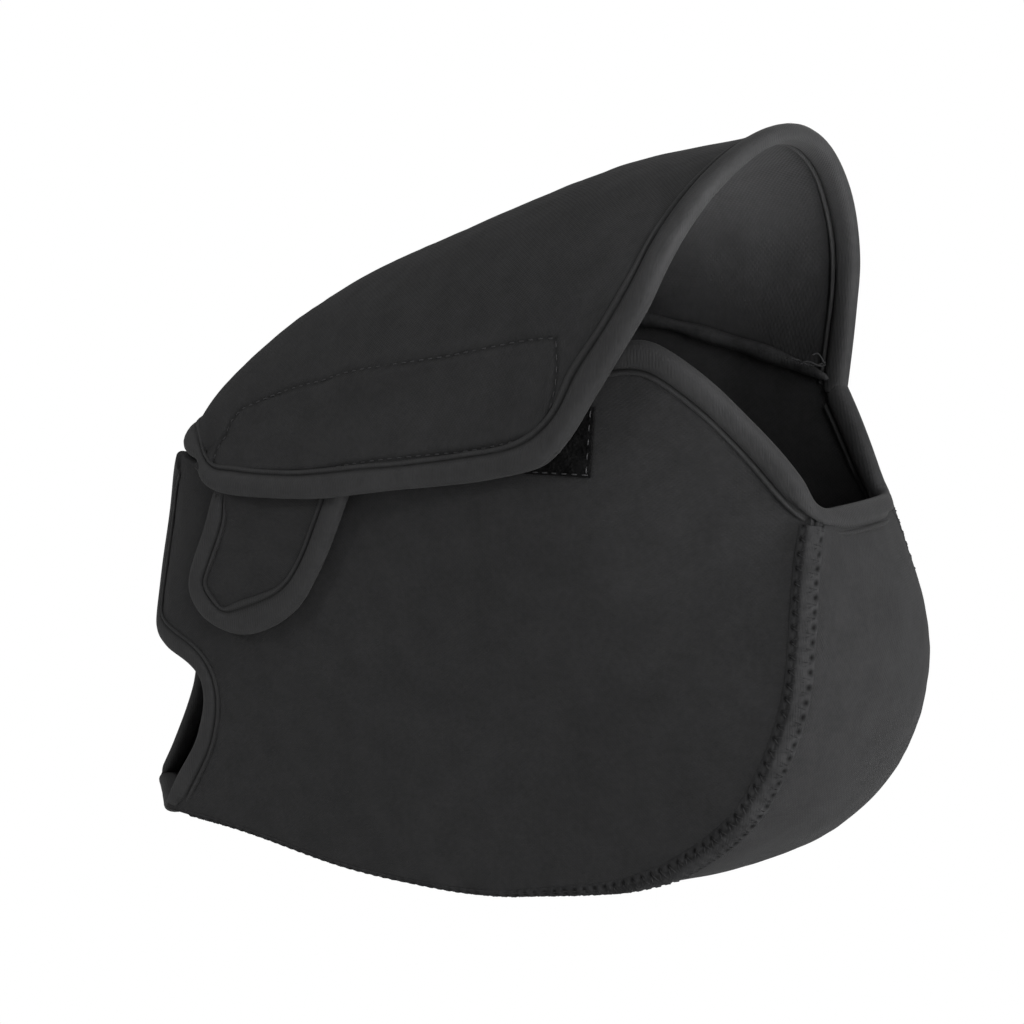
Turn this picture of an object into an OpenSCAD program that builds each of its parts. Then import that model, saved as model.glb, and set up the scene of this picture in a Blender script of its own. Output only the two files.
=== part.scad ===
// Fitted neoprene cover for the mid motor of an e-bike.
// Frame: the crank axle is the origin, +X to the front wheel, +Y to the left side of the
// bicycle (the far side), +Z up. The near side panel is at -Y. All sizes in mm.

/* [Cover] */
// Length of the cover, from the wrap behind the seat tube to the front of the gusset
cover_length = 378; // [320:1:430]
// Width of the cover, from one side panel to the other
cover_width = 95; // [80:1:115]
// Height of the cover, from the lower rear corner to the crown of the hood
cover_height = 300; // [260:1:340]
// How far the gusset bulges out of the seams at the front
gusset_bulge = 19; // [8:0.5:26]

/* [Cloth] */
// Thickness of the neoprene
cloth = 2.5; // [2:0.1:3.5]
// Clearance between pieces that lie on each other
lay = 0.3; // [0.15:0.05:0.4]

/* [Edge binding] */
// How far the folded tape reaches over the edge of the cloth
tape_reach = 6.5; // [5:0.5:9]
// Thickness of one fold of the tape
tape_wall = 1; // [0.7:0.1:1.2]

/* [Seams] */
// Width of the flat seam between a side panel and the gusset
seam_width = 10; // [7:0.5:13]
// Thickness of the stitched band on that seam
seam_band = 0.7; // [0.5:0.1:1]
// Radius of the rolled seam inside the hood
roll_radius = 2; // [1.5:0.1:2.5]

/* [Hook and loop] */
// Thickness of the hook tape
hook = 0.95; // [0.8:0.05:1.1]
// Thickness of the loop tape
loop = 0.8; // [0.6:0.05:0.9]

/* [Crank] */
// Radius of the hole for the left crank
crank_hole = 20; // [16:0.5:24]

/* [Hidden] */

// The outlines below are drawn for a cover of this length, width and height.
drawn = [378, 95, 300];
stretch = [cover_length / drawn.x, cover_width / drawn.y, cover_height / drawn.z];
half = cloth / 2;                              // from the middle of the cloth to its face
bound = half + lay + tape_wall;                // the same, to the outside of the binding
stack = half + lay + loop + lay + hook + lay + half;  // cloth, loop, hook, cloth
near_y = 48;                                   // near side panel, from the mid plane
far_y = 47;                                    // far side panel
wrap_y = 2;                                    // centre line of the wrap round the seat tube
near_wrap = near_y + wrap_y;                   // radius of the near tab
far_wrap = near_wrap - stack / min(stretch.x, stretch.y);  // radius of the far panel's wrap
degree = 180 / PI;
seam_start = 5.4;                              // degrees of the gusset left to the seam

// Seam between near side panel and gusset, from the front top corner to the rear
near_seam = [[294, 119], [296, 102], [299, 83], [300, 62], [294, 38], [283, 18], [264, -1],
    [248, -11.5], [227, -21], [192, -32], [164, -38], [134, -42], [110, -44], [86, -45],
    [62, -45.5], [40, -45.5], [22, -45.7], [5, -46]];
// Seam between far side panel and gusset; the rear end lies round the wrap
far_seam = [[290, 114], [293, 98], [296, 80], [296, 60], [291, 38], [281, 18], [264, -1],
    [248, -11.5], [227, -21], [192, -32], [155, -39], [120, -44], [85, -49], [50, -54],
    [14, -58], [-22, -62], [-54, -65], [-85, -66]];
// Top edge of the near panel: from the tab, under the flap, to the front corner
near_top = [[12, 104], [36, 103], [70, 103.5], [102, 105], [122, 112], [135, 132], [152, 148],
    [180, 155], [208, 161], [226, 166], [238, 169], [250, 165], [263, 157], [273, 148],
    [282, 139], [289, 130], [294, 122]];
// Rear edge of the near panel: up round the crank notch and along the tab
near_rear = [[5, -46], [13, -32], [20, -22], [26, -13], [30, -3], [32, 6], [30, 15], [21, 21],
    [6, 24], [-7, 28], [-11, 36], [-9, 50], [-5, 62], [-1, 78], [3, 94], [12, 104]];
// Rear edge of the far panel, along the cloth: up behind the notch and under the tab
far_rear = [[-85, -66], [-73, -47], [-60, -24], [-54, -8], [-54, 10], [-78, 28], [-98, 42],
    [-106, 56], [-104, 70], [-101, 84], [-97, 98]];
// Top edge of the far panel behind the flap
far_wrap_top = [[-97, 98], [-70, 102], [-30, 103], [0, 100], [11, 104]];
// Front edge of the far panel
far_front = [[290, 114], [282.5, 124], [273, 136], [264, 147]];
// Crown, far seam and near edge of the top flap, from rear to front
crown = [[8, 111], [33, 137], [60, 159], [86, 175], [112, 187], [138, 197.5], [164, 207.5],
    [190, 216.5], [215, 224.5], [242, 230], [266, 235.5]];
flap_seam = [[11, 104], [36, 120], [61, 134], [86, 144], [111, 152], [136, 158], [161, 162],
    [186, 161], [211, 157], [238, 152], [264, 147]];
flap_edge = [[43, 105], [52, 99.5], [66, 99], [86, 101.5], [108, 105], [130, 109.5],
    [153, 114], [174, 118.5], [192, 123], [204, 126.8], [213, 131.5]];
// How many layers the near edge of the flap lies over: the strap, then only the loop strip
flap_lift = [2.1, 2.3, 2.35, 2.35, 2.35, 2, 1.3, 1, 1, 1, 1];
// Hanging end of the closing strap, from the tip up to the edge of the flap
strap_rear = [[34, 45], [31, 55], [36, 68], [44, 82], [52, 99]];
strap_front = [[68, 43], [88, 57], [99, 73], [107, 88], [116, 106]];

// A point at t = 0..1 on a smooth curve through the points p
function curve(p, t) =
    let (n = len(p) - 1, k = min(max(floor(t * n), 0), n - 1), f = t * n - k,
         b = p[k], c = p[k + 1],
         a = k > 0 ? p[k - 1] : b * 2 - c, d = k + 2 <= n ? p[k + 2] : c * 2 - b)
    b + (c - a) * f / 2 + (a * 2 - b * 5 + c * 4 - d) * f * f / 2
      + (b * 3 - c * 3 + d - a) * f * f * f / 2;

function mix(a, b, t) = a + (b - a) * t;
function clamp(x) = min(max(x, 0), 1);
function ease(x) = let (t = clamp(x)) t * t * (3 - 2 * t);
function sized(p) = [p.x * stretch.x, p.y * stretch.y, p.z * stretch.z];

// Where the wrap round the seat tube begins at a height z
function wrap_x(z) = 19 + 0.22 * z - 0.0045 * pow(min(z - 2, 0), 2);
// The cover narrows to its front top corner
function pinch(x, z) = 21 * pow(max(0, 1 - norm([x - 292, z - 119]) / 90), 2);
// The top of the near panel leans in under the flap
function lean(z) = 6 * ease((z - 105) / 65);

// Near side panel: p = place on the cloth (along, up)
function near_side(p) =
    let (c = wrap_x(p.y), a = (c - p.x) / near_wrap * degree)
    sized(p.x > c
        ? [p.x, -near_y + pinch(p.x, p.y) + lean(p.y), p.y]
        : [c - near_wrap * sin(a), wrap_y - near_wrap * cos(a) + lean(p.y), p.y]);

// Far side panel: p = place on the cloth (towards the rear, up)
function far_side(p) =
    let (x = -p.x, c = wrap_x(p.y), a = (c - x) / far_wrap * degree,
         side = mix(far_y, wrap_y + far_wrap, ease((60 - x) / 50)))
    sized(x > c
        ? [x, side - pinch(x, p.y), p.y]
        : [c - far_wrap * sin(a), wrap_y + far_wrap * cos(a), p.y]);

// Gusset: p = (0..100 down the front and back along the bottom, 0..180 from near to far)
function gusset_at(p) =
    let (t = p.x / 100, n = near_side(curve(near_seam, t)),
         fs = curve(far_seam, t), f = far_side([-fs.x, fs.y]),
         d = curve(near_seam, t + 0.01) - curve(near_seam, t - 0.01),
         out = [-d.y, 0, d.x] / norm(d),
         b = gusset_bulge * curve([0.1, 0.65, 0.92, 0.8, 0.34, 0.1, 0.04, 0.03, 0.03, 0.03, 0.03], t),
         across = (1 - cos(p.y)) / 4 + p.y / 360)
    mix(n, f, across) + out * b * sin(p.y);

// Top flap: p = (0..100 from rear to front, 0..100 from the near edge over to the far seam)
function flap(p) =
    let (t = p.x / 100, r = curve(crown, t), n = curve(flap_edge, t), f = curve(flap_seam, t),
         far = p.y > 60, e = far ? f : n,
         end = far ? far_y - pinch(e.x, e.y) : -near_y - stack * curve(flap_lift, t),
         side = far ? far_y : (end - near_y) / 2,
         rise = min(50, (far ? 0.7 : 0.62) * (r.y - e.y)),
         v = far ? (100 - p.y) / 40 : p.y / 60, bend = far ? 0.3 : 0.45,
         a = 90 * clamp((v - bend) / (1 - bend)), w = min(v / bend, 1),
         y = v < bend ? mix(end, side, w) : side * cos(a),
         z = v < bend ? mix(e.y, r.y - rise, w) : r.y - rise + rise * sin(a),
         k = far ? 0.3 : 0.62 * ease(2 * t),
         x = mix(e.x, r.x, v < bend ? k * w : k + (1 - k) * sin(a)))
    sized([x, y, z]);

// Closing strap: p = (0..100 from rear to front, 0..40 hanging end, 40..100 under the flap)
function strap(p) =
    let (t = p.y / 40, a = p.x / 100, over = (p.y - 40) / 60,
         tip = [0, -3.5 * sin(180 * clamp(a)) * pow(max(1 - t, 0), 3)])
    p.y < 40
        ? lift(function(q) near_side(q), mix(curve(strap_rear, t), curve(strap_front, t), a)
            + tip, stack * (1 + 0.24 * ease((t - 0.5) / 0.5)))
        : lift(function(q) flap(q), [mix(10 + 4 * over, 44 - 6 * over, a), 99 * over + 0.5],
            -mix(stack * 1.11, cloth + lay, ease((over - 0.75) / 0.2)));

// Outward unit normal of a surface f at p, and the point that lies d off it
function across(f, p) =
    let (e = 0.4, n = cross(f(p + [e, 0]) - f(p - [e, 0]), f(p + [0, e]) - f(p - [0, e])))
    n / norm(n);
function lift(f, p, d) = f(p) + d * across(f, p);

// Grid of places between four edge curves, with columns at us and rows at vs
function between(bottom, top, left, right, us, vs) =
    [for (u = us) [for (v = vs)
        mix(bottom(u), top(u), v) + mix(left(v), right(v), u)
            - mix(mix(left(0), right(0), u), mix(left(1), right(1), u), v)]];
// Grid of places of a plain rectangle, and places from 0 to 1 that stand closer at the start
function field(from, to, nu, nv) =
    [for (i = [0 : nu]) [for (j = [0 : nv])
        [mix(from.x, to.x, i / nu), mix(from.y, to.y, j / nv)]]];
function steps(n, crowd = 1) = [for (i = [0 : n]) pow(i / n, crowd)];
function reversed(list) = [for (i = [len(list) - 1 : -1 : 0]) list[i]];
function inner(list, from = 1, to = 1) = [for (i = [from : len(list) - 1 - to]) list[i]];

// Solid between two grids of points
module skin(low, high) {
    m = len(low); n = len(low[0]);
    function at(i, j, k) = (k * m + i) * n + j;
    quads = concat(
        [for (i = [0 : m - 2], j = [0 : n - 2])
            [at(i, j, 1), at(i, j + 1, 1), at(i + 1, j + 1, 1), at(i + 1, j, 1)]],
        [for (i = [0 : m - 2], j = [0 : n - 2])
            [at(i, j, 0), at(i + 1, j, 0), at(i + 1, j + 1, 0), at(i, j + 1, 0)]],
        [for (i = [0 : m - 2]) [at(i, 0, 0), at(i, 0, 1), at(i + 1, 0, 1), at(i + 1, 0, 0)]],
        [for (i = [0 : m - 2])
            [at(i + 1, n - 1, 0), at(i + 1, n - 1, 1), at(i, n - 1, 1), at(i, n - 1, 0)]],
        [for (j = [0 : n - 2]) [at(0, j, 0), at(0, j + 1, 0), at(0, j + 1, 1), at(0, j, 1)]],
        [for (j = [0 : n - 2])
            [at(m - 1, j, 1), at(m - 1, j + 1, 1), at(m - 1, j + 1, 0), at(m - 1, j, 0)]]);
    triangles = [for (q = quads) each [[q[0], q[1], q[2]], [q[0], q[2], q[3]]]];
    polyhedron([for (g = [low, high], row = g, p = row) p], triangles);
}

// A piece of cloth or tape: part of the surface f, from low to high off its middle
module sheet(f, grid, low = -half, high = half)
    skin([for (row = grid) [for (p = row) lift(f, p, low)]],
         [for (row = grid) [for (p = row) lift(f, p, high)]]);

// Step on the cloth that moves one unit along the direction m on the surface f
function step(f, p, m) =
    let (e = 0.4, a = (f(p + [e, 0]) - f(p - [e, 0])) / e / 2,
         b = (f(p + [0, e]) - f(p - [0, e])) / e / 2,
         aa = a * a, ab = a * b, bb = b * b, d = aa * bb - ab * ab)
    [(bb * (a * m) - ab * (b * m)) / d, (aa * (b * m) - ab * (a * m)) / d];

// Edge stations: a surface and the place on it
function edge(f, places, reach = 1) = [for (p = places) [f, p, reach]];

// Solid through rings of points
module tube(rings, closed = false) {
    m = len(rings); n = len(rings[0]);
    walls = [for (i = [0 : closed ? m - 1 : m - 2], j = [0 : n - 1])
        let (k = (i + 1) % m, l = (j + 1) % n)
        each [[i * n + j, i * n + l, k * n + l], [i * n + j, k * n + l, k * n + j]]];
    caps = closed ? [] : [[for (j = [n - 1 : -1 : 0]) j], [for (j = [0 : n - 1]) (m - 1) * n + j]];
    polyhedron([for (r = rings, p = r) p], concat(walls, caps));
}

// Folded tape round the edge of the cloth: (past the edge, off the middle of the cloth)
tape_section = [[-tape_reach, half + lay], [2 * lay, half + lay], [2 * lay, -half - lay],
    [-tape_reach, -half - lay], [-tape_reach + 0.5, -bound], [lay, -bound],
    [2 * lay + tape_wall, -0.55 * bound], [2 * lay + tape_wall, 0.55 * bound], [lay, bound],
    [-tape_reach + 0.5, bound]];
module binding(stations, closed = false) {
    m = len(stations);
    tube([for (i = [0 : m - 1])
        let (s = stations[i], a = stations[closed ? (i + m - 1) % m : max(i - 1, 0)],
             b = stations[closed ? (i + 1) % m : min(i + 1, m - 1)],
             along = b[0](b[1]) - a[0](a[1]), past = cross(along, across(s[0], s[1])),
             move = step(s[0], s[1], past / norm(past)))
        [for (q = tape_section)
            lift(s[0], s[1] + move * q.x * (q.x < 0 ? s[2] : 1), q.y)]], closed);
}

// Grids of the pieces: more rows where they bend
near_us = steps(28, 1.3);
near_vs = steps(18);
near_places = between(function(u) curve(near_seam, 1 - u), function(u) curve(near_top, u),
    function(v) curve(near_rear, v), function(v) mix([294, 119], [294, 122], v),
    near_us, near_vs);

far_us = steps(34, 1.9);
far_vs = steps(18);
function far_top_at(u) = let (s = u < 0.12 ? curve(far_wrap_top, u / 0.12)
    : curve(flap_seam, pow((u - 0.12) / 0.88, 0.85))) [-s.x, s.y - 0.35];
function mirrored_curve(list, t) = let (s = curve(list, t)) [-s.x, s.y];
far_places = between(function(u) mirrored_curve(far_seam, 1 - u), function(u) far_top_at(u),
    function(v) mirrored_curve(far_rear, v), function(v) mirrored_curve(far_front, v),
    far_us, far_vs);

flap_us = 100 * steps(26);
flap_vs = 100 * steps(20);
strap_us = 100 * steps(5);
strap_vs = 100 * steps(24);

module near_side_panel() color("#2b2b2d") sheet(function(p) near_side(p), near_places);

module far_side_panel() color("#29292b") difference() {
    sheet(function(p) far_side(p), reversed(far_places));
    translate(far_side([0, 0])) rotate([-90, 0, wrap_x(0) / far_wrap * degree])
        cylinder(r = crank_hole + lay, h = 40, center = true, $fn = 48);
}

// Rows of the gusset, closer at the rear, and its columns from seam to seam
gusset_rows = [for (t = steps(36)) 1 - pow(1 - t, 1.3)];
gusset_columns = [seam_start, 12, 26, 52, 78, 102, 128, 154, 168, 180 - seam_start];
module gusset() color("#3a3a3c")
    sheet(function(p) gusset_at(p), [for (t = gusset_rows) [for (a = gusset_columns) [100 * t, a]]]);

module top_flap() color("#303032")
    sheet(function(p) flap(p), [for (u = flap_us) [for (v = flap_vs) [u, v]]]);

module closing_strap() color("#303032")
    sheet(function(p) strap(p), [for (a = strap_us) [for (v = strap_vs) [a, v]]]);

// Stitched flat seams: a thin band that lies half on the panel and half on the gusset
module flat_seam(panel, seam, mirrored) {
    first = 0.035; last = mirrored ? 0.98 : 0.955;
    rows = [for (i = gusset_rows) let (t = mix(first, last, i), s = panel_place(seam, t, mirrored),
            d = panel_place(seam, t - 0.01, mirrored) - panel_place(seam, t + 0.01, mirrored),
            in = (mirrored ? -1 : 1) * [-d.y, d.x] / norm(d), w = seam_width / 2)
        [for (off = [half + lay, half + lay + seam_band])
            [lift(panel, s + in * w, off), lift(panel, s + in * w * 0.5, off),
             lift(panel, s, off),
             lift(function(p) gusset_at(p), [100 * t, mirrored ? 180 - seam_start : seam_start], off),
             lift(function(p) gusset_at(p), [100 * t, mirrored ? 168 : 12], off)]]];
    order = mirrored ? [len(rows) - 1 : -1 : 0] : [0 : len(rows) - 1];
    skin([for (i = order) rows[i][0]], [for (i = order) rows[i][1]]);
}
function panel_place(seam, t, mirrored) =
    let (s = curve(seam, t)) mirrored ? [-s.x, s.y] : s;

module near_gusset_seam() color("#464648")
    flat_seam(function(p) near_side(p), near_seam, false);
module far_gusset_seam() color("#464648")
    flat_seam(function(p) far_side(p), far_seam, true);

// Rolled seam inside the hood, where the flap is sewn to the far panel
module top_seam() color("#242426") {
    ring = [for (k = [7 : -1 : 0]) roll_radius * [cos(45 * k), sin(45 * k)]];
    tube([for (i = [0 : 20]) let (p = [50 + 48 * i / 20, 100])
        [for (q = ring) lift(function(q) flap(q), p, q.x - half - lay - roll_radius)
            + [0, 0, q.y]]]);
}

// Binding of the mouth: far front edge, top of the gusset, top edge of the near panel
module mouth_binding() color("#4a4a4c") binding(concat(
    edge(function(p) far_side(p), [for (v = reversed(inner(far_vs))) mirrored_curve(far_front, v)]),
    edge(function(p) gusset_at(p), [for (a = reversed(inner(gusset_columns))) [0, a]]),
    edge(function(p) near_side(p), [for (u = reversed(inner(near_us, 4))) curve(near_top, u)])));

// Binding of the rear: tab and crank notch, rear end of the gusset, wrap of the far panel
module rear_opening_binding() color("#4a4a4c") binding(concat(
    edge(function(p) near_side(p), [for (v = reversed(inner(near_vs, 1, 0))) curve(near_rear, v)]),
    edge(function(p) gusset_at(p), [for (a = inner(gusset_columns)) [100, a]]),
    edge(function(p) far_side(p), [for (v = inner(far_vs)) mirrored_curve(far_rear, v)]),
    edge(function(p) far_side(p), [for (u = inner(far_us, 3)) if (u < 0.11) far_top_at(u)])));

module flap_binding() color("#4a4a4c") binding(concat(
    edge(function(p) flap(p), [for (v = reversed(flap_vs)) if (v > 30 && v < 98) [0, v]]),
    edge(function(p) flap(p), [for (v = reversed(flap_vs)) if (v > 8 && v < 30) [0, v]], 0.4),
    edge(function(p) flap(p), [for (u = flap_us) if (u > 3 && u < 12) [u, 0]], 0.4),
    edge(function(p) flap(p), [for (u = flap_us) if (u > 12 && u < 94) [u, 0]]),
    edge(function(p) flap(p), [for (u = flap_us) if (u > 94 && u < 98) [u, 0]], 0.7),
    edge(function(p) flap(p), [for (v = flap_vs) if (v > 3 && v < 8) [100, v]], 0.7),
    edge(function(p) flap(p), [for (v = flap_vs) if (v > 8 && v < 98) [100, v]])));

module strap_binding() color("#4a4a4c") binding(concat(
    edge(function(p) strap(p), [for (v = reversed(inner(strap_vs, 1, 4))) [0, v]]),
    edge(function(p) strap(p), [for (a = inner(strap_us)) [a, 0]]),
    edge(function(p) strap(p), [for (v = inner(strap_vs, 1, 4)) [100, v]])));

module crank_hole_binding() color("#4a4a4c") binding(
    edge(function(p) far_side(p), [for (i = [0 : 31]) let (a = 360 * i / 32)
        crank_hole * [-cos(a), sin(a)]]), closed = true);

// Hook and loop tapes
module flap_hook_strip() color("#202022")
    sheet(function(p) flap(p), field([9, 7], [84, 25], 24, 4), -half - lay - hook, -half - lay);
module side_loop_strip() color("#242426")
    sheet(function(p) near_side(p), [for (i = [0 : 12])
        let (low = curve([[153, 116], [172, 118.5], [190, 120], [210, 121.5], [229, 123]], i / 12))
        [for (j = [0 : 3]) low + [0, 8 * j]]], half + lay, half + lay + loop);
module strap_hook_patch() color("#202022")
    sheet(function(p) strap(p), field([22, 12], [78, 32], 5, 5), -half - lay - hook, -half - lay);
module strap_loop_patch() color("#242426")
    sheet(function(p) near_side(p), field([46, 59], [84, 88], 5, 4),
        half + lay, half + lay + loop);

// The two tapes that close the tab over the wrap: a = angle round the seat tube
module tab_hook_patch() color("#202022")
    sheet(function(p) near_side(p), [for (i = [0 : 5]) [for (j = [0 : 5]) let (z = 58 + 6.4 * j)
        [wrap_x(z) - near_wrap * mix(33.5, 16, i / 5) / degree, z]]],
        -half - lay - hook, -half - lay);
module wrap_loop_patch() color("#242426")
    sheet(function(p) far_side(p), [for (i = [0 : 5]) [for (j = [0 : 5]) let (z = 58 + 6.4 * j)
        [-(wrap_x(z) - far_wrap * (180 - mix(33.5, 16, i / 5)) / degree), z]]],
        half + lay, half + lay + loop);

near_side_panel();
far_side_panel();
gusset();
top_flap();
closing_strap();
near_gusset_seam();
far_gusset_seam();
top_seam();
mouth_binding();
rear_opening_binding();
flap_binding();
strap_binding();
crank_hole_binding();
flap_hook_strip();
side_loop_strip();
strap_hook_patch();
strap_loop_patch();
tab_hook_patch();
wrap_loop_patch();
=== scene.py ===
import math

import bpy
import numpy as np
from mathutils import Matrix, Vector
from mathutils.kdtree import KDTree


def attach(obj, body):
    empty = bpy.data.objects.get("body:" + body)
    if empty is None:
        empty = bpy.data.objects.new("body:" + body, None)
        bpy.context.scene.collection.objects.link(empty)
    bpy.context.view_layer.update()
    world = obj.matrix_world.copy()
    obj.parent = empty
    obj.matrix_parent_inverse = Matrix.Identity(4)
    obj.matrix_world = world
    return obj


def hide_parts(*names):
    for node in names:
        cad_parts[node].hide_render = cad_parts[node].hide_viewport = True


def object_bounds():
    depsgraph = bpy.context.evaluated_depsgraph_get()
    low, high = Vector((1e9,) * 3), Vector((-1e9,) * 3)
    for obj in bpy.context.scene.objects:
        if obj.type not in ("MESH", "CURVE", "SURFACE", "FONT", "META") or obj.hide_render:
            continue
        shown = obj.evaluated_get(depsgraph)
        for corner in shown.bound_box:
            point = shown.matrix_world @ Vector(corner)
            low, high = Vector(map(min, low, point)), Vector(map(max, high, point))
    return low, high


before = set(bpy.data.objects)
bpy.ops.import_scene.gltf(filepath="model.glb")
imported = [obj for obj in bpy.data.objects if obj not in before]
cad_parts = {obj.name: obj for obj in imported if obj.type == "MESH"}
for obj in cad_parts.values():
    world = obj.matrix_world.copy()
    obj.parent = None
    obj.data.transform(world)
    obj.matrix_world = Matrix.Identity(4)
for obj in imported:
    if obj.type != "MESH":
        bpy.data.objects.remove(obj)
cad_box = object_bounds()

# Sizes, as in the part's source

CLOTH = 2.5
LAY = 0.3
HALF = CLOTH / 2
HOOK = 0.95
LOOP = 0.8
NEAR_Y = 48
FAR_Y = 47
WRAP_Y = 2
STACK = HALF + LAY + LOOP + LAY + HOOK + LAY + HALF
NEAR_WRAP = NEAR_Y + WRAP_Y
FAR_WRAP = NEAR_WRAP - STACK
BULGE = 19
BULGE_SHARE = [0.1, 0.65, 0.92, 0.8, 0.34, 0.1, 0.04, 0.03, 0.03, 0.03, 0.03]
CRANK_HOLE = 20

NEAR_SEAM = [(294, 119), (296, 102), (299, 83), (300, 62), (294, 38), (283, 18), (264, -1),
             (248, -11.5), (227, -21), (192, -32), (164, -38), (134, -42), (110, -44),
             (86, -45), (62, -45.5), (40, -45.5), (22, -45.7), (5, -46)]
FAR_SEAM = [(290, 114), (293, 98), (296, 80), (296, 60), (291, 38), (281, 18), (264, -1),
            (248, -11.5), (227, -21), (192, -32), (155, -39), (120, -44), (85, -49),
            (50, -54), (14, -58), (-22, -62), (-54, -65), (-85, -66)]
NEAR_TOP = [(12, 104), (36, 103), (70, 103.5), (102, 105), (122, 112), (135, 132), (152, 148),
            (180, 155), (208, 161), (226, 166), (238, 169), (250, 165), (263, 157), (273, 148),
            (282, 139), (289, 130), (294, 122)]
NEAR_REAR = [(5, -46), (13, -32), (20, -22), (26, -13), (30, -3), (32, 6), (30, 15), (21, 21),
             (6, 24), (-7, 28), (-11, 36), (-9, 50), (-5, 62), (-1, 78), (3, 94), (12, 104)]
FAR_REAR = [(-85, -66), (-73, -47), (-60, -24), (-54, -8), (-54, 10), (-78, 28), (-98, 42),
            (-106, 56), (-104, 70), (-101, 84), (-97, 98)]
FAR_WRAP_TOP = [(-97, 98), (-70, 102), (-30, 103), (0, 100), (11, 104)]
FAR_FRONT = [(290, 114), (282.5, 124), (273, 136), (264, 147)]
CROWN = [(8, 111), (33, 137), (60, 159), (86, 175), (112, 187), (138, 197.5), (164, 207.5),
         (190, 216.5), (215, 224.5), (242, 230), (266, 235.5)]
FLAP_SEAM = [(11, 104), (36, 120), (61, 134), (86, 144), (111, 152), (136, 158), (161, 162),
             (186, 161), (211, 157), (238, 152), (264, 147)]
FLAP_EDGE = [(43, 105), (52, 99.5), (66, 99), (86, 101.5), (108, 105), (130, 109.5),
             (153, 114), (174, 118.5), (192, 123), (204, 126.8), (213, 131.5)]
FLAP_LIFT = [2.1, 2.3, 2.35, 2.35, 2.35, 2, 1.3, 1, 1, 1, 1]
STRAP_REAR = [(34, 45), (31, 55), (36, 68), (44, 82), (52, 99)]
STRAP_FRONT = [(68, 43), (88, 57), (99, 73), (107, 88), (116, 106)]
LOOP_LOW = [(153, 116), (172, 118.5), (190, 120), (210, 121.5), (229, 123)]

# Curves and surfaces


def curve(points, t):
    """Places at t = 0..1 on a smooth curve through the points."""
    p = np.array(points, float)
    p = np.concatenate([[2 * p[0] - p[1]], p, [2 * p[-1] - p[-2]]])
    t = np.asarray(t, float) * (len(p) - 3)
    k = np.clip(np.floor(t).astype(int), 0, len(p) - 4)
    f = (t - k).reshape(t.shape + (1,) * (p.ndim - 1))
    a, b, c, d = p[k], p[k + 1], p[k + 2], p[k + 3]
    return (b + (c - a) * f / 2 + (2 * a - 5 * b + 4 * c - d) * f**2 / 2
            + (3 * b - 3 * c + d - a) * f**3 / 2)


def mix(a, b, t):
    return a + (b - a) * t


def ease(x):
    t = np.clip(x, 0, 1)
    return t * t * (3 - 2 * t)


def unit(v):
    return v / np.linalg.norm(v, axis=-1, keepdims=True)


def pair(a, b):
    return np.stack(np.broadcast_arrays(np.asarray(a, float), np.asarray(b, float)), -1)


def wrap_x(z):
    """Where the wrap round the seat tube begins."""
    return 19 + 0.22 * z - 0.0045 * np.minimum(z - 2, 0) ** 2


def pinch(x, z):
    """The cover narrows to its front top corner."""
    return 21 * np.maximum(0, 1 - np.hypot(x - 292, z - 119) / 90) ** 2


def near_side(q):
    x, z = q[..., 0], q[..., 1]
    c = wrap_x(z)
    a = np.maximum(c - x, 0) / NEAR_WRAP
    flat = x > c
    lean = 6 * ease((z - 105) / 65)
    return np.stack([np.where(flat, x, c - NEAR_WRAP * np.sin(a)),
                     np.where(flat, pinch(x, z) - NEAR_Y, WRAP_Y - NEAR_WRAP * np.cos(a)) + lean,
                     z], -1)


def far_side(q):
    x, z = -q[..., 0], q[..., 1]
    c = wrap_x(z)
    a = np.maximum(c - x, 0) / FAR_WRAP
    flat = x > c
    side = mix(FAR_Y, WRAP_Y + FAR_WRAP, ease((60 - x) / 50))
    return np.stack([np.where(flat, x, c - FAR_WRAP * np.sin(a)),
                     np.where(flat, side - pinch(x, z), WRAP_Y + FAR_WRAP * np.cos(a)), z], -1)


def gusset(q):
    t, a = q[..., 0] / 100, np.radians(q[..., 1])
    near = near_side(curve(NEAR_SEAM, t))
    far = far_side(curve(FAR_SEAM, t) * [-1, 1])
    d = unit(curve(NEAR_SEAM, t + 0.01) - curve(NEAR_SEAM, t - 0.01))
    out = np.stack([-d[..., 1], 0 * t, d[..., 0]], -1)
    b = BULGE * curve(BULGE_SHARE, t) * np.sin(a)
    over = (1 - np.cos(a)) / 4 + a / math.tau
    return mix(near, far, over[..., None]) + out * b[..., None]


def flap(q):
    t = q[..., 0] / 100
    far = q[..., 1] > 60
    r = curve(CROWN, t)
    e = np.where(far[..., None], curve(FLAP_SEAM, t), curve(FLAP_EDGE, t))
    rx, rz, ex, ez = r[..., 0], r[..., 1], e[..., 0], e[..., 1]
    end = np.where(far, FAR_Y - pinch(ex, ez), -NEAR_Y - STACK * curve(FLAP_LIFT, t))
    side = np.where(far, FAR_Y, (end - NEAR_Y) / 2)
    rise = np.minimum(50, np.where(far, 0.7, 0.62) * (rz - ez))
    v = np.where(far, (100 - q[..., 1]) / 40, q[..., 1] / 60)
    bend = np.where(far, 0.3, 0.45)
    a = math.pi / 2 * np.clip((v - bend) / (1 - bend), 0, 1)
    w = np.minimum(v / bend, 1)
    y = np.where(v < bend, mix(end, side, w), side * np.cos(a))
    z = np.where(v < bend, mix(ez, rz - rise, w), rz - rise + rise * np.sin(a))
    k = np.where(far, 0.3, 0.62 * ease(2 * t))
    x = mix(ex, rx, np.where(v < bend, k * w, k + (1 - k) * np.sin(a)))
    return np.stack([x, y, z], -1)


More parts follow.
